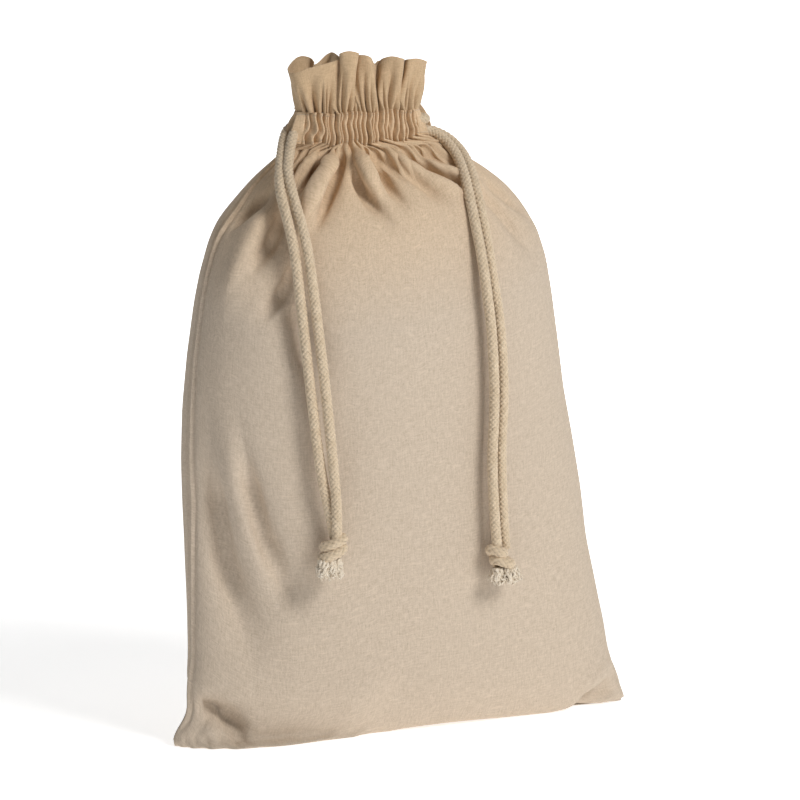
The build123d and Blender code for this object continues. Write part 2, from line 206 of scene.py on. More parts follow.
CORD_RADIUS = 2.0
LEFT_LEVEL = 0.2373
RIGHT_LEVEL = 0.2332
ROUTES = {
    "left_front_strand": [
        (-0.0312, -0.0056, LEFT_LEVEL), (-0.0370, -0.0040, LEFT_LEVEL), (-0.0425, -0.0034, 0.2368),
        (-0.0467, -0.0046, 0.2350), (-0.0498, -0.0080, 0.2316), (-0.0532, -0.0132, 0.2266),
        (-0.0566, -0.0190, 0.2210), (-0.0573, -0.0255, 0.2130), (-0.0569, -0.0314, 0.2040),
        (-0.0558, -0.0358, 0.1930), (-0.0538, -0.0391, 0.1680), (-0.0510, -0.0412, 0.1390),
        (-0.0478, -0.0414, 0.1080), (-0.0464, -0.0410, 0.0940), (-0.0462, -0.0402, 0.0825),
    ],
    "left_back_strand": [
        (-0.0312, 0.0056, LEFT_LEVEL), (-0.0370, 0.0040, LEFT_LEVEL), (-0.0425, 0.0032, 0.2368),
        (-0.0468, 0.0022, 0.2350), (-0.0502, -0.0022, 0.2320), (-0.0540, -0.0084, 0.2276),
        (-0.0580, -0.0154, 0.2218), (-0.0612, -0.0220, 0.2150), (-0.0613, -0.0288, 0.2050),
        (-0.0602, -0.0336, 0.1930), (-0.0586, -0.0363, 0.1690), (-0.0560, -0.0382, 0.1395),
        (-0.0520, -0.0384, 0.1085), (-0.0484, -0.0374, 0.0950), (-0.0452, -0.0366, 0.0825),
    ],
    "right_front_strand": [
        (-0.0008, -0.0056, RIGHT_LEVEL), (0.0050, -0.0040, RIGHT_LEVEL), (0.0100, -0.0034, 0.2331),
        (0.0136, -0.0046, 0.2316), (0.0162, -0.0090, 0.2282), (0.0170, -0.0156, 0.2238),
        (0.0160, -0.0228, 0.2182), (0.0148, -0.0292, 0.2118), (0.0142, -0.0340, 0.2045),
        (0.0144, -0.0376, 0.1960), (0.0150, -0.0410, 0.1860), (0.0156, -0.0436, 0.1740),
        (0.0174, -0.0442, 0.1600), (0.0196, -0.0430, 0.1320), (0.0184, -0.0416, 0.1030),
        (0.0224, -0.0396, 0.0735),
    ],
    "right_back_strand": [
        (-0.0008, 0.0056, RIGHT_LEVEL), (0.0050, 0.0040, RIGHT_LEVEL), (0.0105, 0.0032, 0.2331),
        (0.0154, 0.0018, 0.2320), (0.0198, -0.0026, 0.2294), (0.0219, -0.0100, 0.2246),
        (0.0210, -0.0186, 0.2192), (0.0192, -0.0264, 0.2130), (0.0184, -0.0316, 0.2066),
        (0.0186, -0.0350, 0.1990), (0.0194, -0.0378, 0.1890), (0.0200, -0.0411, 0.1755),
        (0.0218, -0.0426, 0.1630), (0.0244, -0.0414, 0.1350), (0.0230, -0.0400, 0.1060),
        (0.0267, -0.0380, 0.0735),
    ],
}
MOUTH_POINT = 2  # number of the route point where a strand comes out of its tunnel
OUTWARDS = {"left": -1.0, "right": 1.0}  # along x
KNOT_CENTRES = {"left": (-46.8, -38.2, 79.0), "right": (24.6, -38.6, 69.5)}
# lean, turns, width, depth, height, first angle and sideways drift of the wraps
KNOT_WRAPS = {"left": (0.26, 2.1, 3.7, 3.0, 9.0, -0.4, -1.6), "right": (-0.55, 2.1, 3.5, 3.2, 8.4, 0.2, 3.4)}
KNOT_RADIUS = 2.1
# the cut cords under a knot: their places, depth below its centre, yarns, length, flare and random seed
CUT_ENDS = {
    "left": ([(-4.4, -0.8), (-1.8, -1.2), (0.8, -0.8)], 3.4, 60, 7.2, 0.4, 5),
    "right": ([(-2.2, -0.8), (1.2, -1.2), (4.4, -0.8)], 2.8, 52, 6.2, 1.4, 8),
}


# ---------------------------------------------------------------- mesh helpers


def link(name, data):
    piece = bpy.data.objects.new(name, data)
    bpy.context.scene.collection.objects.link(piece)
    return piece


def mesh_piece(name, points, faces, uv=None, shade=None):
    """Mesh from points in millimetres; uv in metres of cloth or cord, shade from 0 hollow to 1 proud."""
    mesh = bpy.data.meshes.new(name)
    points = np.asarray(points, float).reshape(-1, 3) * MM
    mesh.from_pydata(points.tolist(), [], faces.tolist() if isinstance(faces, np.ndarray) else faces)
    mesh.update()
    corners = np.zeros(len(mesh.loops), int)
    mesh.loops.foreach_get("vertex_index", corners)
    if uv is not None:
        layer = mesh.uv_layers.new(name="cloth")
        layer.data.foreach_set("uv", np.asarray(uv, float).reshape(-1, 2)[corners].ravel())
    if shade is not None:
        relief = mesh.attributes.new("relief", "FLOAT", "POINT")
        relief.data.foreach_set("value", np.asarray(shade, np.float32).ravel())
    mesh.polygons.foreach_set("use_smooth", np.ones(len(mesh.polygons), bool))
    mesh.update()
    return link(name, mesh)


def grid_faces(rows, columns, closed_rows=False, closed_columns=False):
    """Quads of a grid of points numbered row by row."""
    number = np.arange(rows * columns).reshape(rows, columns)
    if closed_rows:
        number = np.vstack([number, number[:1]])
    if closed_columns:
        number = np.hstack([number, number[:, :1]])
    quads = np.stack([number[:-1, :-1], number[:-1, 1:], number[1:, 1:], number[1:, :-1]], 2)
    return quads.reshape(-1, 4)


def solidify(piece, thickness, offset=0.0):
    thick = piece.modifiers.new("thickness", "SOLIDIFY")
    thick.thickness = thickness * MM
    thick.offset = offset
    thick.use_even_offset = False
    return piece


def unit(vectors):
    return vectors / (np.linalg.norm(vectors, axis=-1, keepdims=True) + 1e-12)


def smooth_line(points, steps=40):
    """Catmull-Rom line through given points."""
    points = np.array(points, float)
    padded = np.vstack([2 * points[0] - points[1], points, 2 * points[-1] - points[-2]])
    out = []
    for p0, p1, p2, p3 in zip(padded, padded[1:], padded[2:], padded[3:]):
        f = np.linspace(0, 1, steps, endpoint=False)[:, None]
        out.append(
            0.5 * (2 * p1 + (p2 - p0) * f + (2 * p0 - 5 * p1 + 4 * p2 - p3) * f**2
                   + (3 * p1 - p0 - 3 * p2 + p3) * f**3)
        )
    return np.vstack(out + [points[-1:]])


def spread(line, share):
    """Points at the given shares of a line's length."""
    along = np.r_[0, np.cumsum(np.linalg.norm(np.diff(line, axis=0), axis=1))]
    along /= along[-1]
    return np.stack([np.interp(share, along, line[:, k]) for k in range(line.shape[1])], 1)


def line_length(line):
    return float(np.linalg.norm(np.diff(line, axis=0), axis=1).sum())


def frames_along(line):
    """Tangents, and two sideways directions carried along a line without twist."""
    tangents = unit(np.gradient(line, axis=0))
    start = np.cross(tangents[0], (0.0, 0.0, 1.0))
    if np.linalg.norm(start) < 0.1:
        start = np.cross(tangents[0], (0.0, 1.0, 0.0))
    side = unit(start)
    sides = []
    for tangent in tangents:
        side = unit(side - tangent * np.dot(side, tangent))
        sides.append(side)
    sides = np.array(sides)
    return tangents, sides, np.cross(tangents, sides)


def tube_grid(line, radius, sides):
    """Rings of points round a line, with radius as a number or an array of rings x sides."""
    _, across, up = frames_along(line)
    turn = np.arange(sides) * 2 * math.pi / sides
    ring = np.cos(turn)[None, :, None] * across[:, None] + np.sin(turn)[None, :, None] * up[:, None]
    radius = np.broadcast_to(np.asarray(radius, float), (len(line), sides))
    return line[:, None] + ring * radius[..., None]


def tube_faces(rings, sides):
    quads = grid_faces(rings, sides, closed_columns=True)
    return quads.tolist() + [list(range(sides))[::-1], [(rings - 1) * sides + k for k in range(sides)]]


def threads_piece(name, lines, radius, sides=6):
    """Many thin round threads as one piece; radius is a number or one per line."""
    points, faces, uvs = [], [], []
    count = 0
    for number, line in enumerate(lines):
        thick = radius if np.isscalar(radius) else radius[number]
        taper = np.ones(len(line))
        taper[0] = taper[-1] = 0.55
        grid = tube_grid(np.asarray(line, float), thick * taper[:, None], sides)
        faces += [[corner + count for corner in face] for face in tube_faces(len(line), sides)]
        points.append(grid.reshape(-1, 3))
        run = np.r_[0, np.cumsum(np.linalg.norm(np.diff(line, axis=0), axis=1))] * MM
        turn = np.arange(sides) / sides * 2 * math.pi * thick * MM
        across, along = np.broadcast_arrays(turn[None, :] + number * 0.0031, run[:, None])
        uvs.append(np.stack([across, along], 2).reshape(-1, 2))
        count += len(line) * sides
    return mesh_piece(name, np.vstack(points), faces, uv=np.vstack(uvs))


# ---------------------------------------------------------------- material helpers


class Nodes:
    """Short way to add nodes to one material."""

    def __init__(self, name):
        self.material = bpy.data.materials.new(name)
        self.material.use_nodes = True
        self.tree = self.material.node_tree
        self.shader = self.tree.nodes["Principled BSDF"]

    def add(self, kind, **settings):
        node = self.tree.nodes.new(kind)
        for key, value in settings.items():
            if hasattr(node, key):
                setattr(node, key, value)
            else:
                node.inputs[key.replace("_", " ")].default_value = value
        return node

    def join(self, source, target):
        self.tree.links.new(source, target)

    def surface(self, **settings):
        """Settings of the material's own shader."""
        for key, value in settings.items():
            self.shader.inputs[key.replace("_", " ")].default_value = value

    def math(self, operation, first, second=0.0):
        node = self.add("ShaderNodeMath", operation=operation)
        for number, value in enumerate((first, second)):
            if isinstance(value, (int, float)):
                node.inputs[number].default_value = value
            else:
                self.join(value, node.inputs[number])
        return node.outputs[0]

    def noise(self, coordinates, stretch, scale, detail=2.0, rough=0.5, offset=(0, 0, 0)):
        """Noise from 0 to 1 whose grains are stretched along each axis."""
        mapping = self.add("ShaderNodeMapping")
        mapping.inputs["Scale"].default_value = stretch
        mapping.inputs["Location"].default_value = offset
        self.join(coordinates, mapping.inputs["Vector"])
        noise = self.add("ShaderNodeTexNoise", Scale=scale, Detail=detail, Roughness=rough)
        self.join(mapping.outputs[0], noise.inputs["Vector"])
        return noise.outputs["Fac"]

    def blend(self, share, first, second):
        """Colour between two colours or sockets."""
        node = self.add("ShaderNodeMix", data_type="RGBA")
        self.join(share, node.inputs[0])
        for socket, value in ((node.inputs[6], first), (node.inputs[7], second)):
            if isinstance(value, tuple):
                socket.default_value = (*value, 1.0)
            else:
                self.join(value, socket)
        return node.outputs[2]

    def ramp(self, value, low, high):
        node = self.add("ShaderNodeMapRange", clamp=True)
        self.join(value, node.inputs[0])
        node.inputs[1].default_value = low
        node.inputs[2].default_value = high
        return node.outputs[0]

    def bump(self, height, distance, strength=1.0, normal=None):
        node = self.add("ShaderNodeBump")
        node.inputs["Distance"].default_value = distance
        node.inputs["Strength"].default_value = strength
        self.join(height, node.inputs["Height"])
        if normal is not None:
            self.join(normal, node.inputs["Normal"])
        return node.outputs[0]


def cloth_material(name, light, dark, neck_painted_light):
    """Unbleached plain weave: mixed lighter and darker yarns, slubs, a fine grain, and painted light near
    the neck.
    """
    nodes = Nodes(name)
    uv = nodes.add("ShaderNodeUVMap", uv_map="cloth").outputs[0]
    warp = nodes.noise(uv, (1.0, 0.20, 1.0), 1500.0, 1.0, 0.5)
    weft = nodes.noise(uv, (0.20, 1.0, 1.0), 1600.0, 1.0, 0.5, (3.1, 1.7, 0.0))
    grain = nodes.noise(uv, (1.0, 1.0, 1.0), 2200.0, 1.0, 0.5, (0.7, 5.2, 0.0))
    cloud = nodes.noise(uv, (1.0, 0.6, 1.0), 26.0, 2.0, 0.5, (9.1, 2.2, 0.0))
    yarns = nodes.math("ADD", nodes.math("MULTIPLY", warp, 0.35), nodes.math("MULTIPLY", weft, 0.30))
    mixed = nodes.math("ADD", yarns, nodes.math("MULTIPLY", grain, 0.35))
    share = nodes.ramp(mixed, 0.38, 0.62)
    base = nodes.blend(share, dark, light)
    slub_field = nodes.noise(uv, (0.22, 1.0, 1.0), 700.0, 1.0, 0.4, (4.4, 8.8, 0.0))
    slub = nodes.ramp(slub_field, 0.62, 0.76)
    pale = tuple(min(1.0, c * 1.12) for c in light)
    with_slubs = nodes.blend(nodes.math("MULTIPLY", slub, 0.4), base, pale)
    fleck_field = nodes.noise(uv, (1.0, 0.5, 1.0), 1300.0, 1.0, 0.4, (14.4, 3.8, 0.0))
    fleck = nodes.ramp(fleck_field, 0.64, 0.76)
    with_flecks = nodes.blend(nodes.math("MULTIPLY", fleck, 0.45), with_slubs, tuple(c * 0.72 for c in dark))
    tone = nodes.ramp(cloud, 0.3, 0.7)
    tinted = nodes.blend(nodes.math("MULTIPLY", tone, 0.16), with_flecks, tuple(c * 0.84 for c in light))
    height = nodes.add("ShaderNodeSeparateXYZ")
    nodes.join(uv, height.inputs[0])
    # Painted light: near the neck the colour is multiplied by a warm factor that stands in for the light and
    # shade there.
    near_neck = nodes.ramp(height.outputs[1], 0.185, 0.262)
    neck_painted_light_mix = nodes.add("ShaderNodeMix", data_type="RGBA", blend_type="MULTIPLY")
    nodes.join(near_neck, neck_painted_light_mix.inputs[0])
    nodes.join(tinted, neck_painted_light_mix.inputs[6])
    neck_painted_light_mix.inputs[7].default_value = (*neck_painted_light, 1.0)
    nodes.join(neck_painted_light_mix.outputs[2], nodes.shader.inputs["Base Color"])
    nodes.join(nodes.bump(mixed, 0.00022, 0.7), nodes.shader.inputs["Normal"])
    nodes.surface(Roughness=0.92, Specular_IOR_Level=0.18, Sheen_Weight=0.12, Sheen_Roughness=0.6,
                  Sheen_Tint=(0.95, 0.86, 0.74, 1.0))
    return nodes.material


def yarn_material(name, light, dark, relief_shade=True, grain=900.0):
    """Soft spun cotton yarn: fine lengthwise fibres, with painted shade in the hollows between the yarns."""
    nodes = Nodes(name)
    uv = nodes.add("ShaderNodeUVMap", uv_map="cloth").outputs[0]
    fibres = nodes.noise(uv, (1.0, 0.35, 1.0), grain, 3.0, 0.65)
    patches = nodes.noise(uv, (1.0, 1.0, 1.0), grain * 0.28, 2.0, 0.5, (2.0, 7.0, 0.0))
    mixed = nodes.math("ADD", nodes.math("MULTIPLY", fibres, 0.6), nodes.math("MULTIPLY", patches, 0.4))
    colour = nodes.blend(nodes.ramp(mixed, 0.36, 0.66), dark, light)
    if relief_shade:
        # Painted shade: the colour darkens towards the hollows of the braid relief.
        relief = nodes.add("ShaderNodeAttribute", attribute_name="relief").outputs["Fac"]
        hollow = nodes.math("SUBTRACT", 1.0, nodes.ramp(relief, 0.0, 0.55))
        colour = nodes.blend(nodes.math("MULTIPLY", hollow, 0.7), colour, tuple(c * 0.42 for c in dark))
    nodes.join(colour, nodes.shader.inputs["Base Color"])
    nodes.join(nodes.bump(mixed, 0.00035, 0.8), nodes.shader.inputs["Normal"])
    nodes.surface(Roughness=0.9, Specular_IOR_Level=0.15, Sheen_Weight=0.25, Sheen_Roughness=0.5)
    return nodes.material


# The last colour is the painted light near the neck; for the body cloth it is above 1 and brightens the dim
# tunnel and shoulders.
CLOTH = cloth_material("cotton_cloth_weave", (0.64, 0.54, 0.435), (0.50, 0.41, 0.315), (1.17, 1.03, 0.84))
# The frill is the same cloth as the panels; this darker, warmer copy of its weave, with its darker neck
# factor, is painted shade.
SHADED_FRILL_CLOTH = cloth_material(
    "cotton_weave_frill_painted_shade", (0.60, 0.51, 0.41), (0.47, 0.385, 0.30), (1.0, 0.86, 0.67)
)
CORD = yarn_material("cotton_cord_braid", (0.74, 0.61, 0.45), (0.60, 0.475, 0.33))
FRAY = yarn_material("cotton_cord_cut_ends", (0.88, 0.80, 0.68), (0.66, 0.56, 0.43), relief_shade=False)
THREAD = yarn_material(
    "cotton_sewing_thread", (0.66, 0.54, 0.40), (0.54, 0.42, 0.30), relief_shade=False, grain=2500.0
)


def dress(piece, material, body="root"):
    """Material, material slot and body of one piece; a piece that bends between bodies passes None."""
    piece.data.materials.append(material)
    if body:
        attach(piece, body)
    return piece


# ---------------------------------------------------------------- cloth of the body


def oval_half(half_width, half_depth, shift, direction, seam_turn):
    """Front (direction -1) or back (+1) part of an oval section, from the left seam to the right one."""
    turn = np.linspace(math.pi + direction * seam_turn, -direction * seam_turn, 300)
    return np.stack([shift + half_width * np.cos(turn), direction * half_depth * np.sin(turn)], 1)


def ring(front_line, back_line):
    """Cloth columns spread along a front line and a back line, both given from left to right."""
    share = np.arange(SIDE_COLUMNS) / SIDE_COLUMNS
    return np.vstack([spread(front_line, share), spread(back_line[::-1], share)])


pleat_widths = 1 + 0.5 * rng.uniform(-1, 1, (2, PLEATS))
PLEAT_EDGES = [np.r_[0, np.cumsum(widths)] / widths.sum() for widths in pleat_widths]
PLEAT_CRESTS = rng.uniform(0.72, 1.15, (2, PLEATS))


def gather(cloth, side, shift=0.0):
    """Place along the neck, from -1 to 1, and depth from 0 to 1 of the pleats, at cloth coordinates."""
    gathered = CLOTH_WIDTH - 2 * FLAT_END
    edges = FLAT_END + PLEAT_EDGES[side] * gathered
    number = np.interp(cloth + shift, edges, np.arange(PLEATS + 1))
    place = np.interp(cloth, (0, FLAT_END, 24, CLOTH_WIDTH - 24, CLOTH_WIDTH - FLAT_END, CLOTH_WIDTH),
                      (-1, -0.88, -0.64, 0.66, 0.88, 1))
    edge = np.clip(np.minimum(cloth - FLAT_END, CLOTH_WIDTH - FLAT_END - cloth) / 3, 0, 1)
    crest = PLEAT_CRESTS[side][np.clip(number.astype(int), 0, PLEATS - 1)]
    return place, edge * (crest * (0.5 - 0.5 * np.cos(2 * math.pi * number)) ** 0.7 - 0.55)


def neck_points(cloth, side, bulge=0.0, depth=PLEAT_DEPTH, shift=0.0, rise=0.0):
    """Gathered neck line seen from above, pushed out by bulge; the slit's edges lean outwards lower down."""
    place, wave = gather(cloth, side, shift)
    y = NECK_MIDDLE_Y * np.sqrt(1 - NECK_FLATNESS * place**2) + bulge + depth * wave
    lean = np.sign(place) * np.abs(place) ** 5 * (SLIT_LEAN - SLIT_LEAN_CHANGE * rise / TUNNEL_LENGTH)
    x = NECK_CENTRES[side] + place * NECK_HALVES[side] + lean
    return np.stack(np.broadcast_arrays(x, OUT[side] * y), -1)


def stitch_height(cloth, side, rise):
    """Height of a point of the tunnel: its stitch lines wander a little over the pleats."""
    low = 0.9 * np.sin(cloth / 9.0 + side) + 0.6 * np.sin(cloth / 4.3 + 2.0)
    low = low + 2.4 * np.clip((cloth - CLOTH_WIDTH + 14) / 12, 0, 1)
    high = 0.4 * np.sin(cloth / 11.0 + 1.0 + side)
    share = rise / TUNNEL_LENGTH
    return NECK_Z + rise + low * (1 - share) + high * share


def puff(rise):
    """How far a height of the tunnel bulges, from the shallow groove at its stitches to 1 in the middle."""
    return 0.7 + 0.3 * np.sin(math.pi * np.clip(rise / TUNNEL_LENGTH, 0, 1)) ** 1.3


def neck_ring():
    """Top of the body: both gathered necks, with the seams between them drawn to the middle."""
    cloth = np.arange(SIDE_COLUMNS) * CLOTH_WIDTH / SIDE_COLUMNS
    bulge = TUNNEL_BULGE * puff(0.0)
    points = np.vstack([neck_points(cloth, 0, bulge), neck_points(CLOTH_WIDTH - cloth, 1, bulge)])
    from_end = np.tile(np.minimum(cloth, CLOTH_WIDTH - cloth), 2)
    share = np.clip(from_end / FLAT_END, 0, 1)
    points[:, 1] *= np.sin(share * math.pi / 2)
    return points


def filled_shape():
    """Cloth rows laid along the pouch's surface: the grid of points and each row's flat height."""
    low_rows = np.arange(0, TOP_ROWS_START, ROW_STEP)
    rows = np.r_[low_rows, np.arange(TOP_ROWS_START, BODY_LENGTH, TOP_ROW_STEP), BODY_LENGTH]
    base = ring(smooth_line(BASE_FRONT), smooth_line(BASE_BACK))
    levels = [(FLOOR_GAP, base * (1.0, 0.0)), (FLOOR_GAP, base)]
    for height, half_width, half_depth, shift in SECTIONS:
        seam_turn = SEAM_TURN * min(max((height - 10) / 20, 0), 1) * min(max((NECK_Z - height) / 30, 0), 1)
        halves = [oval_half(half_width, half_depth, shift, direction, seam_turn) for direction in (-1, 1)]
        levels.append((height, ring(*halves)))
    levels.append((NECK_Z, neck_ring()))
    stack = np.array([np.c_[xy, np.full(COLUMNS, height)] for height, xy in levels])
    cloth = np.arange(SIDE_COLUMNS) * CLOTH_WIDTH / SIDE_COLUMNS
    stack[-1, :, 2] = np.r_[stitch_height(cloth, 0, 0.0), stitch_height(CLOTH_WIDTH - cloth, 1, 0.0)]
    along = np.concatenate(
        [np.zeros((1, COLUMNS)), np.cumsum(np.linalg.norm(np.diff(stack, axis=0), axis=2), axis=0)]
    )
    grid = np.zeros((len(rows), COLUMNS, 3))
    for column in range(COLUMNS):
        spots = rows / BODY_LENGTH * along[-1, column]
        for axis in range(3):
            grid[:, column, axis] = np.interp(spots, along[:, column], stack[:, column, axis])
    return grid, rows


def outward(grid):
    """Unit normals of the closed grid, pointing away from the filling."""
    across = np.roll(grid, -1, 1) - np.roll(grid, 1, 1)
    normal = unit(np.cross(across, np.gradient(grid, axis=0)))
    return normal * np.sign(((grid - grid.mean(axis=(0, 1))) * normal).sum())


def fold_heights(grid):
    """How far the folds lift or sink each point of the grid."""
    total = np.zeros(grid.shape[:2])
    for folds, start in ((FRONT_FOLDS, 0), (BACK_FOLDS, SIDE_COLUMNS)):
        columns = (np.arange(-6, SIDE_COLUMNS + 7) + start) % COLUMNS
        points = grid[:, columns]
        for path, half_width, height in folds:
            spots = []
            for cloth, level in path:
                column = grid[:, int(round(start + cloth)) % COLUMNS]
                spots.append([np.interp(level, column[:, 2], column[:, axis]) for axis in range(3)])
            line = smooth_line(spots, 16)
            gaps = np.linalg.norm(points[:, :, None] - line[None, None], axis=3)
            place = gaps.argmin(2) / (len(line) - 1)
            ends = np.clip(np.minimum(0.1 + 3 * place, 2.4 * (1 - place)), 0, 1)
            crease = np.exp(0.4 - np.hypot(gaps.min(2) / (0.8 * half_width), 0.4))
            total[:, columns] += height * ends * crease
    return total * np.clip((NECK_Z - grid[..., 2]) / 5, 0, 1)


WORK_SCALE = 10.0  # the simulation works on cloth ten times its real size
SETTLE_FRAMES = 12


def settle(start, rows):
    """Cloth simulation: the folded start shape is filled lightly and finds its own wrinkles."""
    scale = WORK_SCALE * MM
    turn = np.arange(COLUMNS) / SIDE_COLUMNS * math.pi
    radius = CLOTH_WIDTH / math.pi
    flat = np.zeros_like(start)
    flat[..., 0] = -radius * np.cos(turn)
    flat[..., 1] = -radius * np.sin(turn)
    flat[..., 2] = rows[:, None]
    faces = grid_faces(len(rows), COLUMNS, closed_columns=True)
    cloth = mesh_piece("cloth_at_work", start * WORK_SCALE, faces)
    cloth.shape_key_add(name="Basis")
    cut = cloth.shape_key_add(name="Cut")
    cut.value = 0
    cut.data.foreach_set("co", (flat * scale).ravel())
    held = cloth.vertex_groups.new(name="held")
    numbers = np.arange(len(rows) * COLUMNS).reshape(len(rows), COLUMNS)
    on_floor = numbers[start[..., 2] < FLOOR_GAP + 0.2]
    held.add(on_floor.ravel().tolist() + numbers[-1].tolist(), 1.0, "REPLACE")
    modifier = cloth.modifiers.new("Cloth", "CLOTH")
    fabric = modifier.settings
    fabric.rest_shape_key = cut
    fabric.vertex_group_mass = "held"
    fabric.pin_stiffness = 1.0
    fabric.quality = 4
    fabric.mass = 0.05
    fabric.tension_stiffness = fabric.compression_stiffness = 40
    fabric.shear_stiffness = 5
    fabric.bending_stiffness = 0.05
    fabric.tension_damping = fabric.compression_damping = fabric.shear_damping = 15
    fabric.bending_damping = 1
    fabric.air_damping = 5
    fabric.bending_model = "ANGULAR"
    fabric.effector_weights.gravity = 0.0
    fabric.use_pressure = True
    fabric.uniform_pressure_force = 1.0
    modifier.collision_settings.distance_min = 0.003
    modifier.collision_settings.use_self_collision = False
    reach = 300.0
    floor = mesh_piece("floor_at_work", [(-reach, -reach, -0.4), (reach, -reach, -0.4), (reach, reach, -0.4),
                                         (-reach, reach, -0.4)], [(0, 1, 2, 3)])
    floor.modifiers.new("Collision", "COLLISION")
    scene = bpy.context.scene
    for step in range(1, SETTLE_FRAMES + 1):
        scene.frame_set(step)
    settled = cloth.evaluated_get(bpy.context.evaluated_depsgraph_get()).to_mesh()
    points = np.zeros(len(settled.vertices) * 3)
    settled.vertices.foreach_get("co", points)
    scene.frame_set(1)
    bpy.data.objects.remove(cloth)
    bpy.data.objects.remove(floor)
    return points.reshape(start.shape) / scale


def relaxed(grid, passes, above=0.0):
    """Small crumples ironed out of the cloth above a height, leaving the neck and the floor as they are."""
    share = np.clip((grid[..., 2] - above) / 12, 0, 1) * np.clip((NECK_Z - grid[..., 2]) / 3, 0, 1)
    share = 0.5 * share[..., None]
    for _ in range(passes):
        around = (np.roll(grid, 1, 1) + np.roll(grid, -1, 1)) / 2
        above_below = grid.copy()
        above_below[1:-1] = (grid[:-2] + grid[2:]) / 2
        grid = grid + share * ((around + above_below) / 2 - grid)
    return grid


PRESS_TOP = 222.0  # above this the cords hang clear of the shoulder
CORD_BED = 2.1  # the cloth's middle under a cord lies this far below the cord's
CORD_BED_FLAT = 1.6  # half width of the bed's flat bottom
CORD_BED_RISE = 0.10  # how fast its sides curve up beyond that


def press_under(grid, line):
    """The cloth gives way under a cord that lies on it."""
    line = spread(line[line[:, 2] < PRESS_TOP], np.linspace(0, 1, 160))
    normal = outward(grid)
    reach = 10.0
    low, high = line.min(0) - reach, line.max(0) + reach
    near = np.all((grid > low) & (grid < high), axis=2)
    points = grid[near]
    gaps = np.linalg.norm(points[:, None] - line[None], axis=2)
    spot = gaps.argmin(1)
    flat_points, flat_normals = grid.reshape(-1, 3), normal.reshape(-1, 3)
    nearest = np.array([np.linalg.norm(flat_points - p, axis=1).argmin() for p in line])
    facing = flat_normals[nearest]
    for _ in range(12):
        facing[1:-1] = unit(facing[:-2] + facing[1:-1] + facing[2:])
    out = facing[spot]
    offset = points - line[spot]
    height = (offset * out).sum(1)
    aside = np.linalg.norm(offset - height[:, None] * out, axis=1)
    limit = -CORD_BED + np.clip(aside - CORD_BED_FLAT, 0, None) ** 2 * CORD_BED_RISE
    ease = np.clip(spot / 20, 0, 1)
    excess = ease * np.clip(height - limit, 0, None) * (aside < reach) * (gaps.min(1) < reach)
    grid[near] = points - out * excess[:, None]
    return grid


def finer(grid, axis, closed):
    """Twice as many rows or columns, on a smooth line through the old ones."""
    grid = np.moveaxis(grid, axis, 0)
    if closed:
        before, after, second = np.roll(grid, 1, 0), np.roll(grid, -1, 0), np.roll(grid, -2, 0)
        middle = (9 * (grid + after) - before - second) / 16
        out = np.stack([grid, middle], 1).reshape(-1, *grid.shape[1:])
    else:
        ends = np.concatenate([2 * grid[:1] - grid[1:2], grid, 2 * grid[-1:] - grid[-2:-1]])
        middle = (9 * (ends[1:-2] + ends[2:-1]) - ends[:-3] - ends[3:]) / 16
        out = np.empty((2 * len(grid) - 1, *grid.shape[1:]))
        out[::2] = grid
        out[1::2] = middle
    return np.moveaxis(out, 0, axis)


def nurbs_line(route):
    """Millimetre points along a smooth spline whose control points are the route's."""
    curve = bpy.data.curves.new("route", "CURVE")
    curve.dimensions = "3D"
    spline = curve.splines.new("NURBS")
    spline.points.add(len(route) - 1)
    for spot, point in zip(spline.points, route):
        spot.co = (*point, 1.0)
    spline.order_u = 3
    spline.use_endpoint_u = True
    spline.resolution_u = 24
    holder = link("route", curve)
    bpy.context.view_layer.update()
    mesh = bpy.data.meshes.new_from_object(holder)
    line = np.array([vertex.co for vertex in mesh.vertices]) / MM
    bpy.data.objects.remove(holder)
    return line


strand_lines = {name: nurbs_line(route) for name, route in ROUTES.items()}

body_grid, body_rows = filled_shape()
body_grid += outward(body_grid) * (fold_heights(body_grid) * SEED_SHARE)[..., None]
body_grid[..., 2] = np.maximum(body_grid[..., 2], FLOOR_GAP)
settled = settle(body_grid, body_rows)
free = np.clip((body_grid[..., 2:] - 3) / 15, 0, 1)
body_grid = body_grid * (1 - free) + settled * free
body_grid = relaxed(relaxed(body_grid, 2), 4, TOP_ROWS_START)
cloth_places = np.arange(SIDE_COLUMNS)
gathers = np.hstack([gather(cloth_places, 0)[1], gather(CLOTH_WIDTH - cloth_places, 1)[1]])
gathers = GATHER_DEPTH * gathers[None] * np.exp((body_grid[..., 2] - NECK_Z) / GATHER_REACH)
body_grid += outward(body_grid) * (gathers * np.clip((NECK_Z - body_grid[..., 2]) / 2, 0, 1))[..., None]
body_grid += outward(body_grid) * (fold_heights(body_grid) * FINISH_SHARE)[..., None]
body_grid[..., 2] = np.maximum(body_grid[..., 2], FLOOR_GAP)
for strand_line in strand_lines.values():
    body_grid = press_under(body_grid, strand_line)

fine_grid = finer(finer(body_grid, 1, True), 0, False)
fine_rows = finer(body_rows, 0, False)
FINE_SIDE = SIDE_COLUMNS * 2

# side seams: a narrow ridge over the turned-in edges, with a shallow groove on each side of it
for seam_column in (0, FINE_SIDE):
    gap = np.abs((np.arange(FINE_SIDE * 2) - seam_column + FINE_SIDE) % (2 * FINE_SIDE) - FINE_SIDE) * 0.5
    pinch = 0.8 * np.exp(-((gap / 0.9) ** 2)) - 0.55 * np.exp(-(((gap - 2.0) / 1.0) ** 2))
    lift = np.clip((fine_grid[..., 2] - 3) / 6, 0, 1) * np.clip((NECK_Z - fine_grid[..., 2]) / 6, 0, 1)
    fine_grid += outward(fine_grid) * (pinch[None] * lift)[..., None]


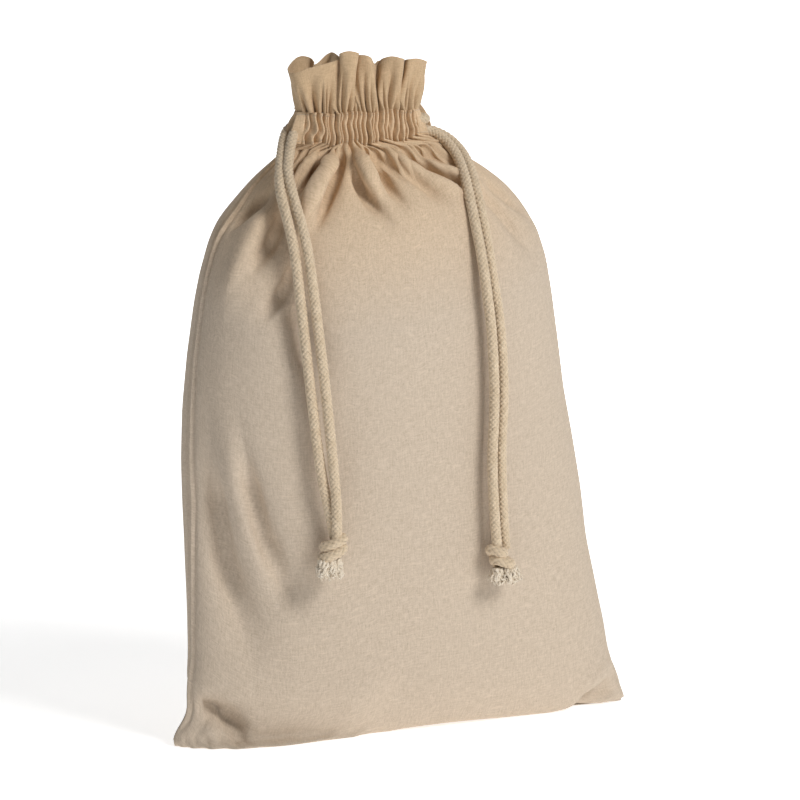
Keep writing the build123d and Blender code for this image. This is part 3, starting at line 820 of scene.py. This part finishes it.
def panel(name, side):
    """Front or back panel of the body, from one side seam to the other."""
    columns = (np.arange(FINE_SIDE + 1) + side * FINE_SIDE) % (2 * FINE_SIDE)
    grid = fine_grid[:, columns]
    share = EDGE_ROW / (fine_rows[-1] - fine_rows[-2])
    grid = np.concatenate([grid[:-1], grid[-1:] * (1 - share) + grid[-2:-1] * share, grid[-1:]])
    rows = np.r_[fine_rows[:-1], BODY_LENGTH - EDGE_ROW, BODY_LENGTH]
    u, v = np.meshgrid(np.arange(FINE_SIDE + 1) * 0.5 * MM, rows * MM)
    piece = mesh_piece(name, grid, grid_faces(*grid.shape[:2]), uv=np.stack([u + WEAVE_SHIFT * side, v], 2))
    return solidify(piece, CLOTH_THICKNESS)


front_panel = dress(panel("front_panel_cloth", 0), CLOTH)
back_panel = dress(panel("back_panel_cloth", 1), CLOTH)
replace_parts(front_panel, "front_panel")
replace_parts(back_panel, "back_panel")

# ---------------------------------------------------------------- tunnels


def meander(cloth, rise):
    """Sideways wandering of the pleats between the tunnel's two lines of stitches."""
    sway = np.sin(0.50 * rise + 0.05 * cloth + 1.6 * np.sin(cloth / 27.0))
    return 2.6 * sway * np.sin(math.pi * np.clip(rise / TUNNEL_LENGTH, 0, 1))


def tunnel_surface(cloth, side, rise):
    """Outer face of a gathered tunnel at a height above its lower stitches."""
    middle = np.sin(math.pi * np.clip(rise / TUNNEL_LENGTH, 0, 1))
    depth = PLEAT_DEPTH * (1 - 0.18 * middle + 0.30 * middle * np.sin(0.6 * rise + 0.71 * cloth))
    xy = neck_points(cloth, side, TUNNEL_BULGE * puff(rise), depth, meander(cloth, rise), rise)
    return np.concatenate([xy, stitch_height(cloth, side, rise)[..., None]], -1)


def tunnel(name, side):
    """Sleeve of cloth: the gathered outer face and a smoother inner one, joined along both stitch lines."""
    cloth = np.arange(0, CLOTH_WIDTH + 0.1, 0.4)
    rises = np.linspace(0, TUNNEL_LENGTH, 19)
    rises = np.r_[0, EDGE_ROW, rises[1:-1], TUNNEL_LENGTH - EDGE_ROW, TUNNEL_LENGTH]
    outer = [tunnel_surface(cloth, side, np.full_like(cloth, rise)) for rise in rises]
    inner = []
    for rise in rises[-2:0:-1]:
        hollow = math.sin(math.pi * rise / TUNNEL_LENGTH) ** 0.7
        xy = neck_points(cloth, side, -3.4 * hollow, PLEAT_DEPTH * (1 - 0.6 * hollow), rise=rise)
        inner.append(np.c_[xy, stitch_height(cloth, side, rise)])
    grid = np.array(outer + inner)
    round_section = np.r_[rises, TUNNEL_LENGTH + rises[1:-1]]
    u, v = np.meshgrid(cloth * MM, (BODY_LENGTH + round_section) * MM)
    faces = grid_faces(*grid.shape[:2], closed_rows=True)
    piece = mesh_piece(name, grid, faces, uv=np.stack([u + WEAVE_SHIFT * side, v], 2))
    return solidify(piece, CLOTH_THICKNESS * 0.8)


STITCH_INSET = 0.9  # from the tunnel's lower and upper edges
STITCH_RADIUS = 0.18
STITCH_HALF = 1.5  # of a stitch's length, in cloth millimetres


def stitching(name, side, rise):
    """One stitch over each pleat of a tunnel."""
    gathered = CLOTH_WIDTH - 2 * FLAT_END
    crests = FLAT_END + (PLEAT_EDGES[side][:-1] + PLEAT_EDGES[side][1:]) / 2 * gathered
    spots = np.r_[FLAT_END * 0.25, FLAT_END * 0.7, crests]
    spots = np.r_[spots, CLOTH_WIDTH - FLAT_END * 0.7, CLOTH_WIDTH - FLAT_END * 0.25]
    lines = []
    for spot in spots:
        reach = np.linspace(-STITCH_HALF, STITCH_HALF, 7)
        line = tunnel_surface(spot + reach, side, np.full(7, rise))
        line[:, 1] += OUT[side] * (0.22 - 0.4 * (reach / STITCH_HALF) ** 4)
        lines.append(line)
    return threads_piece(name, lines, STITCH_RADIUS)


for side, word in enumerate(("front", "back")):
    piece = dress(tunnel(f"{word}_tunnel_cloth", side), CLOTH)
    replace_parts(piece, f"{word}_tunnel")
    for level, rise in (("lower", STITCH_INSET), ("upper", TUNNEL_LENGTH - STITCH_INSET)):
        seam = dress(stitching(f"{word}_tunnel_{level}_stitching", side, rise), THREAD)
        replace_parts(seam, f"{word}_tunnel_{level}_stitches")

# ---------------------------------------------------------------- frills


def frill(name, side, top, low, billow):
    """Header above a tunnel: fine pleats at its foot that merge into the wide waves of its top edge."""
    cloth = np.arange(0, CLOTH_WIDTH + 0.1, 0.5)
    rim = smooth_line(top)
    edge = np.stack([np.interp(cloth, rim[:, 0], rim[:, axis]) for axis in (1, 2, 3)], 1)
    rises = np.linspace(0, 1, 24)
    rises = np.r_[0, EDGE_ROW / FRILL_LENGTH, rises[1:-1], 1 - EDGE_ROW / FRILL_LENGTH, 1]
    seam = smooth_line(low)
    foot = np.stack([np.interp(cloth, seam[:, 0], seam[:, axis]) for axis in (1, 2)], 1)
    places = (foot[:, 0] - NECK_CENTRES[side]) / NECK_HALVES[side]
    tunnel_cloth = np.interp(places, gather(cloth, side)[0], cloth)
    _, wave = gather(tunnel_cloth, side)
    in_front = np.clip((np.minimum(cloth, CLOTH_WIDTH - cloth) - 20) / 12, 0, 1) if side == 0 else 1.0
    grid = []
    for rise in rises:
        share = rise**1.15 * (1.6 - 0.6 * rise)
        line = foot * (1 - share) + edge[:, :2] * share
        along = unit(np.gradient(line, axis=0))
        normal = np.stack([along[:, 1], -along[:, 0]], 1) * -OUT[side]
        fine = (PLEAT_DEPTH * wave * in_front + TUNNEL_BULGE * 0.4) * np.clip(1 - rise / 0.72, 0, 1) ** 1.15
        broad = billow * np.sin(cloth / 15.0 * 2 * math.pi + side) * math.sin(math.pi * rise**0.8)
        ends = np.clip(np.minimum(cloth, CLOTH_WIDTH - cloth) / 12, 0, 1)
        line = line + normal * (fine + broad * ends)[:, None]
        start = stitch_height(tunnel_cloth, side, TUNNEL_LENGTH)
        height = start + (edge[:, 2] - start) * rise
        grid.append(np.c_[line, height])
    grid = np.array(grid)
    u, v = np.meshgrid(cloth * MM, (BODY_LENGTH + TUNNEL_LENGTH + rises * FRILL_LENGTH) * MM)
    piece = mesh_piece(name, grid, grid_faces(*grid.shape[:2]), uv=np.stack([u + WEAVE_SHIFT * side, v], 2))
    return solidify(piece, CLOTH_THICKNESS)


FRILL_LINES = (
    ("front", FRONT_FRILL_TOP, FRONT_FRILL_FOOT, 0.9),
    ("back", BACK_FRILL_TOP, BACK_FRILL_FOOT, 2.6),
)
for side, (word, top, low, billow) in enumerate(FRILL_LINES):
    piece = dress(frill(f"{word}_frill_cloth", side, top, low, billow), SHADED_FRILL_CLOTH, None)
    start = Vector((NECK_X, OUT[side] * NECK_MIDDLE_Y, NECK_Z + TUNNEL_LENGTH)) * MM
    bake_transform(piece)
    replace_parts(piece, f"{word}_frill")

# ---------------------------------------------------------------- seams inside the pouch

ALLOWANCE_WIDTH = 8.0
ALLOWANCE_THICKNESS = 1.1  # doubled cloth
OVERLOCK_STEP = 2.4
OVERLOCK_RADIUS = 0.28
BARTACK_RADIUS = 0.26
BARTACK_HALF = 2.4


def allowance(name, spine, inward):
    """Strip of doubled cloth that stands inwards from a seam."""
    widths = np.linspace(0.7, ALLOWANCE_WIDTH, 6)
    ripple = 0.25 * np.sin(np.arange(len(spine)) * 0.9)
    aside = np.array([0.0, 1.0, 0.0]) if abs(inward[0][1]) < 0.5 else np.array([1.0, 0.0, 0.0])
    sway = aside * ripple[:, None] / ALLOWANCE_WIDTH
    grid = np.array([spine + (inward + sway) * width for width in widths])
    run = np.r_[0, np.cumsum(np.linalg.norm(np.diff(spine, axis=0), axis=1))] * MM
    u, v = np.meshgrid(run, widths * MM)
    piece = mesh_piece(name, grid, grid_faces(*grid.shape[:2]), uv=np.stack([v, u], 2))
    return solidify(piece, ALLOWANCE_THICKNESS), grid


def overlocking(name, grid):
    """Zigzag of thread over the raw edge of an allowance, on both of its faces."""
    lines = []
    inner, edge = grid[-4], grid[-1]
    count = int(line_length(edge) / OVERLOCK_STEP)
    share = np.linspace(0.01, 0.99, count)
    near, far = spread(inner, share), spread(edge, share)
    aside = unit(np.cross(np.gradient(far, axis=0), far - near)) * 0.85
    for face in (-1, 1):
        zigzag = np.empty((2 * count, 3))
        zigzag[::2] = near + face * aside
        zigzag[1::2] = far + face * aside * 0.7 + unit(far - near) * 0.3
        lines.append(zigzag)
    lines.append(far + unit(far - near) * 0.45)
    return threads_piece(name, lines, OVERLOCK_RADIUS, 5)


side_rows = (fine_grid[:, 0, 2] > 10) & (fine_grid[:, 0, 2] < 221)
side_steps = np.linspace(0, 1, 60)
SEAM_LINES = (
    ("left_side", spread(fine_grid[side_rows, 0], side_steps), (1.0, 0.0, 0.0)),
    ("right_side", spread(fine_grid[side_rows, FINE_SIDE], side_steps), (-1.0, 0.0, 0.0)),
    ("bottom", np.array([(x, 0.0, 1.2) for x in np.linspace(-86, 86, 60)]), (0.0, 0.0, 1.0)),
)
for word, spine, inward in SEAM_LINES:
    strip, strip_grid = allowance(f"{word}_seam_allowance", spine, np.tile(inward, (len(spine), 1)))
    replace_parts(dress(strip, CLOTH), f"{word}_seam")
    edging = dress(overlocking(f"{word}_seam_overlocking", strip_grid), THREAD)
    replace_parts(edging, f"{word}_seam_overlock")

# bartacks: short bars of thread across each side seam just below the slit
for word, column, direction in (("left", 0, -1.0), ("right", FINE_SIDE, 1.0)):
    spot = fine_grid[-3, column]
    bars = []
    for number in range(8):
        across = np.linspace(-BARTACK_HALF, BARTACK_HALF, 7)
        bow = 0.75 - 0.5 * (across / BARTACK_HALF) ** 2
        drop = -0.42 * number
        bars.append(np.stack([spot[0] + direction * (bow + 0.12 * number), spot[1] + across,
                              np.full(7, spot[2] + 0.6 + drop)], 1))
    tack = dress(threads_piece(f"{word}_bartack_thread", bars, BARTACK_RADIUS), THREAD)
    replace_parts(tack, f"{word}_slit_bartack")

# ---------------------------------------------------------------- drawcords

YARNS = 6  # in each direction round the braid
BRAID_PITCH = 11.5
BRAID_SIDES = 40
BRAID_STEP = 0.3
BRAID_CORE = 0.80  # share of the cord's radius in the hollows between its yarns
BRAID_RELIEF = 0.25


def braid_relief(rings, sides, step, phase=0.0):
    """Height from 0 to 1 of a braid's surface: yarns winding both ways, each over one and under one."""
    turn = np.arange(sides)[None, :] / sides
    run = np.arange(rings)[:, None] * step / BRAID_PITCH + phase
    one, other = YARNS * (turn + run), YARNS * (turn - run)
    over = (np.floor(one) + np.floor(other)) % 2 == 0
    one, other = one % 1, other % 1
    top = np.where(over, np.sin(math.pi * one) ** 0.6, np.sin(math.pi * other) ** 0.6)
    length = np.where(over, np.sin(math.pi * other), np.sin(math.pi * one))
    return top * (0.55 + 0.45 * length)


def braid(name, line, radius=CORD_RADIUS, phase=0.0):
    """Braided cotton cord along a line."""
    rings = max(8, int(line_length(line) / BRAID_STEP))
    line = spread(line, np.linspace(0, 1, rings))
    step = line_length(line) / (rings - 1)
    relief = braid_relief(rings, BRAID_SIDES, step, phase)
    thick = radius * (BRAID_CORE + BRAID_RELIEF * relief)
    grid = tube_grid(line, thick, BRAID_SIDES)
    u = np.broadcast_to(np.arange(BRAID_SIDES)[None] / BRAID_SIDES * 2 * math.pi * radius * MM, relief.shape)
    v = np.broadcast_to(np.arange(rings)[:, None] * step * MM, relief.shape)
    return mesh_piece(name, grid, tube_faces(rings, BRAID_SIDES), uv=np.stack([u, v], 2), shade=relief)


def knot_line(centre, lean, turns, width, depth, height, start, drift):
    """Cord wound round itself: an oval helix leaning to one side, its ends tucked into the middle."""
    turn = np.linspace(start, start + turns * 2 * math.pi, 90)
    share = np.linspace(0, 1, 90)
    tuck = np.clip(np.minimum(share, 1 - share) / 0.10, 0.25, 1)
    x = width * np.cos(turn) * tuck + drift * (share - 0.5)
    y = -depth * np.sin(turn) * tuck
    z = height * (0.5 - share) + lean * width * np.cos(turn) * tuck
    return np.stack([x, y, z], 1) + np.array(centre)


def cut_ends(name, centre, spots, below, count, length, flare, seed):
    """Cut ends of the cord: a dense brush of short curled yarns."""
    chance = np.random.default_rng(seed)
    lines, radii = [], []
    for x, y in spots:
        for _ in range(count):
            angle = chance.uniform(0, 2 * math.pi)
            reach = math.sqrt(chance.uniform(0.02, 1.0))
            away = np.array([math.cos(angle), math.sin(angle), 0.0])
            start = np.array([centre[0] + x, centre[1] + y, centre[2] - below]) + away * reach * 1.9
            share = np.linspace(0, 1, 9)[:, None]
            drop = np.array([0.0, 0.0, -1.0]) * length * chance.uniform(0.55, 1.05) * share
            curl = 0.9 * np.sin(share * chance.uniform(5, 13) + chance.uniform(0, 6, 3)) * share**0.6
            lean = away * reach * flare * share**1.5
            lines.append(start + drop + curl + lean)
            radii.append(chance.uniform(0.36, 0.54))
    return threads_piece(name, lines, radii, 5)


strand_pieces = {}
for number, (name, line) in enumerate(strand_lines.items()):
    word = name.split("_")[0]
    piece = dress(braid(f"{name}_braid", line, phase=0.13 * number), CORD, None)
    start = Vector(ROUTES[name][MOUTH_POINT])
    start.y = 0.0
    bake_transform(piece)
    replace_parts(piece, name)
    if "front" in name:
        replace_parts(piece, f"{word}_drawcord_exits")
    strand_pieces[name] = piece

for word, centre in KNOT_CENTRES.items():
    wraps = knot_line(centre, *KNOT_WRAPS[word])
    wrap_piece = braid(f"{word}_knot_braid", wraps, KNOT_RADIUS, 0.3)
    dress(wrap_piece, CORD, f"{word}_cord")
    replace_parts(wrap_piece, f"{word}_knot")
    yarns = cut_ends(f"{word}_cut_ends_yarn", centre, *CUT_ENDS[word])
    dress(yarns, FRAY, f"{word}_cord")
    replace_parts(yarns, f"{word}_frayed_ends")

LOOP_MIDDLE = 8.6
LOOP_NARROWING = 5.2  # towards the ends of the neck
LOOP_START, LOOP_REACH = 15.0, 20.5  # from the neck's middle, at the cord's own side and at the far one


def loop_offset(x):
    """How far a drawcord loop lies in front of and behind the neck's middle, at a place along the neck."""
    return LOOP_MIDDLE - LOOP_NARROWING * ((x - NECK_X) / NECK_HALF) ** 2


for word, level in (("left", LEFT_LEVEL / MM), ("right", RIGHT_LEVEL / MM)):
    outwards = OUTWARDS[word]
    inner_end, far_end = NECK_X + outwards * LOOP_START, NECK_X - outwards * LOOP_REACH
    xs = np.linspace(inner_end, far_end, 30)
    front_run = np.stack([xs, -loop_offset(xs), np.full(30, level)], 1)
    turn = np.linspace(-math.pi / 2, math.pi / 2, 13)[1:-1]
    half = loop_offset(far_end)
    bend = np.stack([far_end - outwards * half * np.cos(turn), half * np.sin(turn), np.full(11, level)], 1)
    loop_line = np.vstack([front_run, bend, front_run[::-1] * (1, -1, 1)])
    piece = dress(braid(f"{word}_drawcord_loop_braid", loop_line), CORD)
    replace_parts(piece, f"{word}_drawcord_loop")

# ---------------------------------------------------------------- floor, light and camera

VIEW_AZIMUTH = math.radians(-26.0)
VIEW_ELEVATION = math.radians(8.5)
VIEW_DISTANCE = 2.0

# the pale floor glows more the further it is from the pouch, as a lit studio sweep does, and it stops
# glowing far to the sides and far in front
room = Nodes("pale_floor")
spots = room.add("ShaderNodeTexCoord").outputs["Object"]
floor_tone = room.noise(spots, (1, 1, 1), 3.0, 2.0, 0.5)
room.join(room.blend(floor_tone, (0.90, 0.90, 0.90), (0.93, 0.93, 0.93)), room.shader.inputs["Base Color"])
room.surface(Roughness=0.9, Emission_Color=(1.0, 1.0, 1.0, 1.0))
away = room.add("ShaderNodeVectorMath", operation="LENGTH")
room.join(spots, away.inputs[0])
glow = room.math("ADD", room.math("MULTIPLY", room.ramp(away.outputs["Value"], 0.2, 1.0), 0.48), 0.57)
axes = room.add("ShaderNodeSeparateXYZ")
room.join(spots, axes.inputs[0])
aside = room.ramp(room.math("ABSOLUTE", axes.outputs[0]), 0.3, 1.3)
ahead = room.ramp(room.math("MULTIPLY", axes.outputs[1], -1.0), 0.3, 1.2)
lit = room.math("MULTIPLY", room.math("SUBTRACT", 1.0, aside), room.math("SUBTRACT", 1.0, ahead))
glow = room.math("MULTIPLY", glow, room.math("ADD", room.math("MULTIPLY", lit, 0.8), 0.2))
room.join(glow, room.shader.inputs["Emission Strength"])

BACKDROP_START = 1200.0  # where the floor begins to curve up behind the pouch
BACKDROP_RADIUS = 900.0
profile = [(-3000.0, 0.0), (BACKDROP_START, 0.0)]
for turn in np.linspace(0, math.pi / 2, 13)[1:]:
    behind, above = math.sin(turn), 1 - math.cos(turn)
    profile.append((BACKDROP_START + BACKDROP_RADIUS * behind, BACKDROP_RADIUS * above))
profile.append((BACKDROP_START + BACKDROP_RADIUS, 3600.0))
sweep = np.array([[(x, y, z) for x in (-4500.0, 4500.0)] for y, z in profile])
floor = mesh_piece("floor_and_backdrop", sweep, grid_faces(len(profile), 2))
floor.rotation_euler = (0, 0, VIEW_AZIMUTH)
floor.data.materials.append(room.material)


def lamp(name, place, size, power, colour=(1.0, 1.0, 1.0)):
    light = bpy.data.lights.new(name, "AREA")
    light.size = size
    light.energy = power
    light.color = colour
    holder = link(name, light)
    holder.location = place
    aim = Vector((0.0, 0.0, 0.13)) - Vector(place)
    holder.rotation_euler = aim.to_track_quat("-Z", "Y").to_euler()


lamp("key_light", (0.42, -1.25, 1.02), 0.55, 15.6, (1.0, 0.985, 0.965))
lamp("top_light", (0.0, -0.1, 1.7), 1.2, 4.5)
bpy.context.scene.view_settings.view_transform = "Standard"

world = bpy.data.worlds.new("studio")
bpy.context.scene.world = world
world.use_nodes = True
world.node_tree.nodes["Background"].inputs[0].default_value = (1.0, 1.0, 1.0, 1.0)
world.node_tree.nodes["Background"].inputs[1].default_value = 0.03

camera_data = bpy.data.cameras.new("camera")
camera_data.sensor_width = 36.0
camera_data.lens = 232.0
camera = link("camera", camera_data)
target = Vector((0.0, 0.0, 0.128))
level = math.cos(VIEW_ELEVATION)
direction = Vector(
    (math.sin(VIEW_AZIMUTH) * level, -math.cos(VIEW_AZIMUTH) * level, math.sin(VIEW_ELEVATION))
)
camera.location = target + direction * VIEW_DISTANCE
camera.rotation_euler = (-direction).to_track_quat("-Z", "Y").to_euler()
bpy.context.scene.camera = camera

# ---------------------------------------------------------------- what each soft piece is

for name, piece in strand_pieces.items():
    word = name.split("_")[0]
    line = strand_lines[name]
